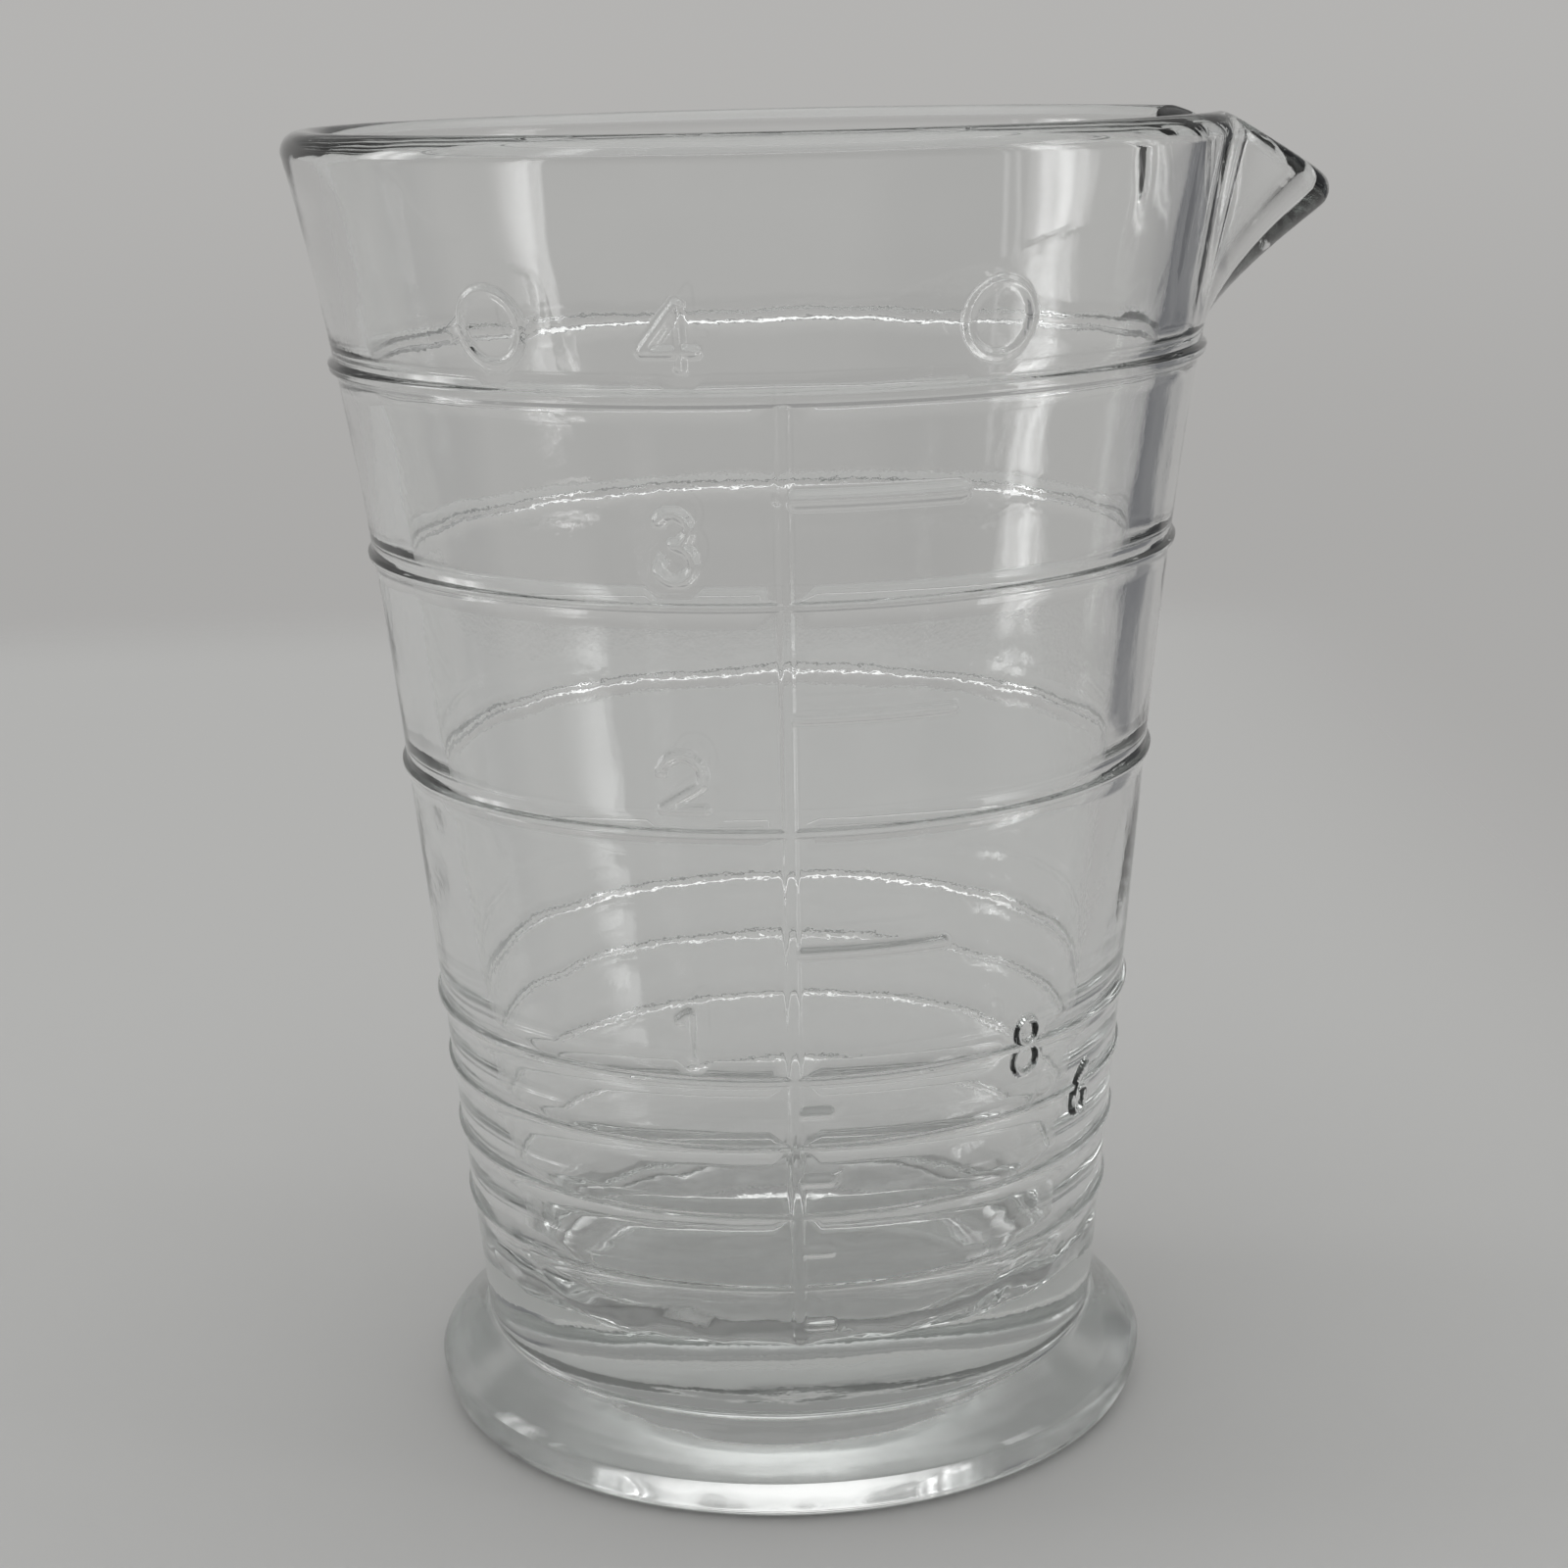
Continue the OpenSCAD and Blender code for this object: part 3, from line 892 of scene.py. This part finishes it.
@dataclass
class Measure:
    """The whole glass as one closed skin. Sizes are in millimetres, angles in degrees."""

    wall: Wall = field(default_factory=Wall)
    foot: Foot = field(default_factory=Foot)
    chill: ChillRipple = field(default_factory=ChillRipple)
    ring_heights: dict[str, float] = field(default_factory=lambda: {
        "ring_4_ounce": 0.45, "ring_3_ounce": 0.35, "ring_2_ounce": 0.35, "ring_1_ounce": 0.35,
        "ring_6_dram": 0.25, "ring_4_dram": 0.25, "ring_2_dram": 0.25})
    row_step: float = 1.15
    spout_steps: int = 48
    spout_margin: float = 1.0
    round_steps: int = 162
    mark_cuts: int = 5
    mark_reach: float = 0.6
    lip_steps: int = 14
    inner_rows: int = 28
    floor_steps: int = 12
    skin: float = 0.5
    polish_h: float = 12.0

    def __post_init__(self) -> None:
        """Read the rings from the frame and set out the spout and the scale."""
        self.rings = {}
        for name, height in self.ring_heights.items():
            kind = RingKind.DRAM if "dram" in name else RingKind.OUNCE
            self.rings[name] = Ring.from_node(name, height, kind)
        top = self.rings["ring_4_ounce"]
        self.spout = Spout(self.wall, top.level + top.width / 2)
        self.scale = Scale(self.wall)
        self.scale.add_lines()
        self.scale.add_numerals()

    def bead(self, z: Array | float) -> Array:
        """Height of the rings above the wall at a height."""
        return np.maximum.reduce([ring.bead(z) for ring in self.rings.values()])

    def outer_heights(self) -> list[float]:
        """Heights of the outline's points up the outer wall, closer together on the rings."""
        stops = [self.wall.foot_h + self.foot.cove]
        ends = sorted((r.stops() for r in self.rings.values()), key=lambda s: s[0])
        for ring_stops in ends + [[self.wall.lip_z]]:
            gap = ring_stops[0] - stops[-1]
            count = max(1, round(gap / self.row_step))
            first = stops[-1]
            stops += [first + gap * i / count for i in range(1, count)]
            stops += ring_stops
        return stops[:-1]

    def outline(self) -> list[Point]:
        """Draw the glass's half section from the middle of the hollow to the middle of the floor.

        Returns:
            Points as radius and height.
        """
        wall = self.wall
        outer = [(float(wall.outer(z) + self.bead(z)), z) for z in self.outer_heights()]
        lip = []
        lean = wall.lean_at(wall.lip_z)
        centre = (float(wall.outer(wall.lip_z)) - wall.rim / 2, wall.lip_z)
        for i in range(self.lip_steps + 1):
            a = math.pi * i / self.lip_steps
            out = math.cos(lean) * math.cos(a) + math.sin(lean) * math.sin(a)
            up = math.cos(lean) * math.sin(a) - math.sin(lean) * math.cos(a)
            lip.append((centre[0] + wall.rim / 2 * out, centre[1] + wall.rim / 2 * up))
        low = wall.floor_z + wall.floor_fillet
        inner = []
        for i in range(1, self.inner_rows + 1):
            z = wall.lip_z + (low - wall.lip_z) * i / self.inner_rows
            inner.append((float(wall.inner(z)), z))
        corner = []
        turn_r = float(wall.inner(low)) - wall.floor_fillet
        floor = []
        for i in range(1, self.floor_steps + 1):
            a = math.radians(90 * i / self.floor_steps)
            corner.append((turn_r + wall.floor_fillet * math.cos(a), low - wall.floor_fillet * math.sin(a)))
            floor.append((turn_r * (1 - i / self.floor_steps), wall.floor_z))
        return self.foot.outline(wall) + outer + lip + inner + corner + floor

    def draw_outline(self, points: Sequence[Point]) -> bpy.types.Object:
        """Draw the half section as a chain of edges, one extrusion after another.

        Args:
            points: The outline as radius and height in millimetres.

        Returns:
            The new object, in edit mode with the whole chain selected.
        """
        deselect_all()
        start = Vector((points[0][0], 0.0, points[0][1])) * MM
        bpy.ops.mesh.primitive_plane_add(size=MM, location=start)
        piece = bpy.context.object
        bpy.ops.object.transform_apply(location=True, rotation=True, scale=True)
        bpy.ops.object.mode_set(mode="EDIT")
        bpy.ops.mesh.select_mode(type="VERT")
        bpy.ops.mesh.select_all(action="SELECT")
        bpy.ops.mesh.merge(type="CENTER")
        last = start
        for radius, height in points[1:]:
            place = Vector((radius, 0.0, height)) * MM
            bpy.ops.mesh.extrude_region_move(TRANSFORM_OT_translate={"value": place - last})
            last = place
        bpy.ops.mesh.select_all(action="SELECT")
        return piece

    def spin(self, piece: bpy.types.Object) -> None:
        """Spin the outline round the axis, closer together where the spout will be.

        Args:
            piece: The outline, in edit mode and selected.
        """
        margin = self.spout.half_angle + self.spout_margin
        centre, axis = (0.0, 0.0, 0.0), (0.0, 0.0, 1.0)
        bpy.ops.transform.rotate(value=math.radians(margin), orient_axis="Z", center_override=centre)
        sweep = [(2 * margin, self.spout_steps), (360 - 2 * margin, self.round_steps)]
        for angle, steps in sweep:
            bpy.ops.mesh.spin(steps=steps, angle=math.radians(angle), center=centre, axis=axis)
        bpy.ops.mesh.select_all(action="SELECT")
        bpy.ops.mesh.remove_doubles(threshold=0.002 * MM)
        bpy.ops.mesh.normals_make_consistent(inside=False)
        bpy.ops.object.mode_set(mode="OBJECT")

    def is_outside(self, radius: Array, z: Array) -> Array:
        """Tell which points lie on the outer wall, above the foot's crease and below the lip."""
        wall = self.wall
        return (radius > wall.outer(z) - self.skin) & (z > wall.foot_h + self.foot.cove) & (z < wall.lip_z)

    def refine_marks(self, piece: bpy.types.Object) -> None:
        """Cut the faces under the markings finer.

        Args:
            piece: The spun glass.
        """
        mesh = piece.data
        centres = np.empty(len(mesh.polygons) * 3)
        mesh.polygons.foreach_get("center", centres)
        radius, angle, z = round_axis(centres.reshape(-1, 3) / MM)
        near = self.is_outside(radius, z) & (self.scale.nearest(angle, z) < self.mark_reach)
        bpy.ops.object.mode_set(mode="EDIT")
        bpy.ops.mesh.select_mode(type="FACE")
        bpy.ops.mesh.select_all(action="DESELECT")
        bpy.ops.object.mode_set(mode="OBJECT")
        mesh.polygons.foreach_set("select", near)
        bpy.ops.object.mode_set(mode="EDIT")
        bpy.ops.mesh.subdivide(number_cuts=self.mark_cuts)
        bpy.ops.object.mode_set(mode="OBJECT")
        log.info("cut %d faces finer under the markings", int(near.sum()))

    def shape(self, piece: bpy.types.Object) -> None:
        """Raise the markings, ripple the floor, dimple the hollow, tool the foot and draw out the spout.

        Args:
            piece: The spun and refined glass.
        """
        wall = self.wall
        radius, angle, z = round_axis(vertex_places(piece.data) / MM)
        outside = self.is_outside(radius, z)
        round_r = np.where(outside, wall.outer(z) + self.bead(z), radius)
        raised = np.maximum(self.scale.relief(angle, z), self.bead(z)) - self.bead(z)
        round_r = round_r + np.where(outside, raised, 0.0)
        turn = np.radians(angle)
        places = np.stack([round_r * np.cos(turn), round_r * np.sin(turn), z], axis=1)
        near, foot, chill = 0.1, self.foot, self.chill
        inside = (z > wall.floor_z - near) & (z < wall.floor_z + chill.reach)
        inside &= radius < wall.inner(z) + self.skin
        places[inside] = chill.ripple(places[inside], wall.floor_z)
        hollow = (z > foot.hollow_depth / 2) & (z < foot.hollow_depth + near)
        hollow &= (radius > near) & (radius < foot.hollow_r)
        places[hollow] = chill.dimple(places[hollow])
        shoulder = (z > foot.waist_z + near) & (z < wall.foot_h - near) & (radius > wall.neck_r)
        places[shoulder] = chill.tool(places[shoulder])
        places = self.spout.draw_out(places)
        move_vertices(piece.data, places * MM)

    def dress(self, piece: bpy.types.Object) -> None:
        """Give the glass its material, and mark which stretches the mould pebbled and which are worn.

        Args:
            piece: The finished mesh.
        """
        wall, mesh = self.wall, piece.data
        mesh.materials.append(GlassFinish().material())
        radius, _, z = round_axis(vertex_places(mesh) / MM)
        pebbled = np.full(len(z), Side.MOULD.value)
        pebbled[(radius < wall.outer(z) - self.skin) & (z > wall.foot_h)] = Side.PLUNGER.value
        polish = smooth((z - self.rings["ring_4_ounce"].level) / self.polish_h)
        pebbled += (Side.FIRE_POLISHED.value - pebbled) * polish
        touching = 0.02
        worn = np.where((z < touching) & (radius > self.foot.hollow_r), 1.0, 0.0)
        for name, values in ((MOULD_MASK, pebbled), (WEAR_MASK, worn)):
            mask = mesh.attributes.new(name, "FLOAT", "POINT")
            mask.data.foreach_set("value", values)

    def build(self) -> bpy.types.Object:
        """Model the glass and give it its finish.

        Returns:
            The finished piece.
        """
        piece = self.draw_outline(self.outline())
        piece.name = piece.data.name = "glass_measure"
        self.spin(piece)
        self.refine_marks(piece)
        self.shape(piece)
        bpy.ops.object.shade_smooth()
        self.dress(piece)
        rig.replaces(piece, *sorted(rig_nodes()))
        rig.slot(piece, GLASS_SLOT)
        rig.ride(piece, BODY)
        log.info("glass_measure: %d vertices, %d faces", len(piece.data.vertices), len(piece.data.polygons))
        return piece


@dataclass(frozen=True)
class Window:
    """A soft bright window in the room.

    Bearings turn right from +Y and heights are angles, all in degrees. The strength is the window's radiance.
    """

    bearing: float
    half_width: float
    low: float
    high: float
    strength: float
    left_soft: float = 2.0
    right_soft: float = 2.0
    low_soft: float = 1.5
    high_soft: float = 4.0
    ribs: float = 0.0
    rib_pitch: float = 8.0

    def glow(self, wiring: Wiring, bearing: Socket, rise: Socket) -> Socket:
        """Work out how strongly the window shows in a direction.

        Args:
            wiring: The world's nodes.
            bearing: The direction's bearing.
            rise: Its angle above the level.

        Returns:
            A value from 0 to 1.
        """
        left, right = self.bearing - self.half_width, self.bearing + self.half_width
        across = wiring.band(bearing, left, self.left_soft, right, self.right_soft)
        tall = wiring.band(rise, self.low, self.low_soft, self.high, self.high_soft)
        turn = wiring.product(wiring.work_out("SUBTRACT", bearing, self.bearing), 2 * math.pi / self.rib_pitch)
        dim = wiring.product(wiring.work_out("COSINE", turn), self.ribs / 2)
        return wiring.product(across, tall, wiring.work_out("SUBTRACT", 1.0 - self.ribs / 2, dim))


@dataclass(frozen=True)
class Studio:
    """The plain table, the pale room round it, its windows and the camera. Metres and degrees.

    Each pair of heights or bearings says where a colour starts to show and where it is full.
    """

    floor_color: Color = (0.585, 0.585, 0.578)
    horizon_color: Color = (0.405, 0.40, 0.392)
    level_color: Color = (0.458, 0.453, 0.444)
    level_from: Span = (-10.0, 1.0)
    behind_color: Color = (0.24, 0.24, 0.238)
    behind_from: Span = (100.0, 125.0)
    upper_color: Color = (0.30, 0.298, 0.294)
    upper_from: Span = (9.0, 16.0)
    ceiling_color: Color = (1.22, 1.22, 1.21)
    ceiling_from: Span = (34.0, 62.0)
    shade_color: Color = (0.16, 0.162, 0.17)
    shade_bearing: float = 52.0
    shade_half_width: float = 17.0
    shade_soft: float = 7.0
    shade_top: float = 14.0
    shade_foot: float = -16.5
    shade_foot_soft: float = 1.5
    # Painted light: a lighter pool on the table under the glass stands in for the light that comes through the glass.
    painted_light_pool_color: Color = (0.92, 0.92, 0.91)
    painted_light_pool_r: float = 0.021
    painted_light_pool_fade: float = 0.9
    cloth_roughness: float = 0.9
    cloth_specular: float = 0.2
    table_left: float = 0.60
    table_right: float = 0.118
    table_back: float = 0.328
    table_front: float = 0.60
    table_fade: float = 0.03
    table_gap: float = 0.00005
    lens_px: float = 2987.0
    distance: float = 0.209
    camera_h: float = 0.0986
    pitch: float = 14.2
    roll: float = 1.33
    bearing: float = 1.7
    aside: float = 0.00047
    sensor: float = 36.0
    clip_start: float = 0.01
    clear_bounces: int = 32
    glossy_bounces: int = 16

    def windows(self) -> Iterable[Window]:
        """The windows that stand round the table."""
        yield Window(-82.0, 8.5, -3.0, 24.0, 5.2, ribs=0.55, rib_pitch=7.5)
        yield Window(-99.0, 1.2, 4.0, 24.0, 2.0, left_soft=1.0, right_soft=1.0)
        yield Window(107.0, 5.0, 7.0, 24.0, 4.0, left_soft=8.0, right_soft=1.0)
        yield Window(111.5, 6.5, -14.0, -2.0, 2.9, left_soft=8.0, right_soft=1.0)

    def cloth(self, half_wide: float, half_deep: float, middle: Vector) -> bpy.types.Material:
        """Build the table's material, which is lighter under the glass, a painted pool of light, and clear at the far
        and right edges.

        Args:
            half_wide: Half of the table's width.
            half_deep: Half of its depth.
            middle: Where its middle lies.

        Returns:
            The material.
        """
        material = bpy.data.materials.new("table_cloth")
        material.use_nodes = True
        wiring = Wiring(material.node_tree)
        nodes, links = wiring.nodes, wiring.links
        shader = nodes["Principled BSDF"]
        shader.inputs["Roughness"].default_value = self.cloth_roughness
        shader.inputs["Specular IOR Level"].default_value = self.cloth_specular
        place, parts = nodes.new("ShaderNodeTexCoord"), nodes.new("ShaderNodeSeparateXYZ")
        links.new(place.outputs["Object"], parts.inputs["Vector"])
        from_glass = nodes.new("ShaderNodeVectorMath")
        from_glass.operation = "DISTANCE"
        from_glass.inputs[1].default_value = -middle
        links.new(place.outputs["Object"], from_glass.inputs[0])
        away = from_glass.outputs["Value"]
        # Painted light: the table is painted lighter within this radius under the glass, a pool of light that the
        # glass lets through.
        painted_light_pool = wiring.share(away, self.painted_light_pool_r, self.painted_light_pool_r * self.painted_light_pool_fade, Easing.EVEN)
        links.new(wiring.blend(painted_light_pool, self.floor_color, self.painted_light_pool_color), shader.inputs["Base Color"])
        keep = wiring.product(*(wiring.share(parts.outputs[axis], half, half - 2 * self.table_fade)
                                for axis, half in (("X", half_wide), ("Y", half_deep))))
        clear, mix = nodes.new("ShaderNodeBsdfTransparent"), nodes.new("ShaderNodeMixShader")
        links.new(keep, mix.inputs["Fac"])
        links.new(clear.outputs["BSDF"], mix.inputs[1])
        links.new(shader.outputs["BSDF"], mix.inputs[2])
        links.new(mix.outputs["Shader"], nodes["Material Output"].inputs["Surface"])
        return material

    def build_floor(self) -> None:
        """Lay the pale table, which fades into the room at its far and right edges."""
        deselect_all()
        wide, deep = self.table_left + self.table_right, self.table_front + self.table_back
        bpy.ops.mesh.primitive_plane_add(size=1.0)
        floor = bpy.context.object
        floor.name = "table"
        floor.scale = (wide, deep, 1.0)
        bpy.ops.object.transform_apply(location=False, rotation=False, scale=True)
        floor.location = ((self.table_right - self.table_left) / 2,
                          (self.table_back - self.table_front) / 2, -self.table_gap)
        floor.data.materials.append(self.cloth(wide / 2, deep / 2, floor.location))
        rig.stage(floor)

    def build_room(self) -> None:
        """Fill the world with a pale room: a bright ceiling, soft windows and a shaded corner."""
        world = bpy.data.worlds.new("room")
        bpy.context.scene.world = world
        world.use_nodes = True
        wiring = Wiring(world.node_tree)
        nodes, share = wiring.nodes, wiring.share
        place, parts = nodes.new("ShaderNodeTexCoord"), nodes.new("ShaderNodeSeparateXYZ")
        wiring.feed(parts.inputs["Vector"], place.outputs["Generated"])
        x, y, z = (parts.outputs[axis] for axis in "XYZ")
        rise = wiring.product(wiring.work_out("ARCSINE", z), math.degrees(1.0))
        bearing = wiring.product(wiring.work_out("ARCTAN2", x, y), math.degrees(1.0))
        unseen = wiring.work_out("SUBTRACT", 1.0, nodes.new("ShaderNodeLightPath").outputs["Is Camera Ray"])
        behind = share(wiring.work_out("ABSOLUTE", bearing), *self.behind_from)
        room = wiring.blend(share(rise, *self.level_from), self.horizon_color, self.level_color)
        room = wiring.blend(wiring.product(behind, unseen), room, self.behind_color)
        room = wiring.blend(share(rise, *self.upper_from), room, self.upper_color)
        room = wiring.blend(share(rise, *self.ceiling_from), room, self.ceiling_color)
        for window in self.windows():
            glow = wiring.product(window.glow(wiring, bearing, rise), unseen)
            room = wiring.blend(glow, room, (window.strength, window.strength, window.strength))
        off = wiring.work_out("ABSOLUTE", wiring.work_out("SUBTRACT", bearing, self.shade_bearing))
        half_soft = self.shade_soft / 2
        beside = share(off, self.shade_half_width + half_soft, self.shade_half_width - half_soft)
        below = share(rise, self.shade_top + self.shade_soft, self.shade_top)
        above = share(rise, self.shade_foot - self.shade_foot_soft, self.shade_foot + self.shade_foot_soft)
        shade = wiring.product(beside, below, above, unseen)
        wiring.feed(nodes["Background"].inputs["Color"], wiring.blend(shade, room, self.shade_color))

    def build_camera(self) -> None:
        """Stand the camera where the photograph was taken."""
        data = bpy.data.cameras.new("camera")
        data.sensor_width = self.sensor
        data.lens = self.lens_px / PHOTO_PX * data.sensor_width
        data.clip_start = self.clip_start
        camera = bpy.data.objects.new("camera", data)
        bpy.context.scene.collection.objects.link(camera)
        pitch, roll = math.radians(self.pitch), math.radians(self.roll)
        right = Vector((1.0, 0.0, 0.0))
        ahead = Vector((0.0, math.cos(pitch), -math.sin(pitch)))
        up = Vector((0.0, math.sin(pitch), math.cos(pitch)))
        rolled_right = math.cos(roll) * right - math.sin(roll) * up
        rolled_up = math.sin(roll) * right + math.cos(roll) * up
        turn = Matrix((rolled_right, rolled_up, -ahead)).transposed().to_4x4()
        stand = Matrix.Translation((self.aside, -self.distance, self.camera_h))
        swing = Matrix.Rotation(-math.radians(self.bearing), 4, "Z")
        camera.matrix_world = swing @ stand @ turn
        bpy.context.scene.camera = camera

    def set_light_paths(self) -> None:
        """Let light pass often enough through the walls of the glass."""
        cycles = bpy.context.scene.cycles
        cycles.max_bounces = cycles.transmission_bounces = self.clear_bounces
        cycles.glossy_bounces = self.glossy_bounces

    def build(self) -> None:
        """Build the whole studio."""
        self.set_light_paths()
        self.build_floor()
        self.build_room()
        self.build_camera()


def main() -> None:
    """Load the frame, dress it, and build the studio round it."""
    logging.basicConfig(level=logging.INFO, format="%(message)s")
    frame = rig.load()
    cad_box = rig.bounds()
    log.info("frame: %d nodes on %d bodies", len(frame["nodes"]), len(frame["bodies"]))
    Measure().build()
    Studio().build()
    bpy.context.scene.view_settings.view_transform = "Standard"
    bpy.context.view_layer.update()
    with open(SIZE_FILE, "w", encoding="utf-8") as size_file:
        json.dump({"cad": [list(c) for c in cad_box], "visual": [list(c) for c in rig.bounds()]}, size_file)


if __name__ == "__main__":
    main()
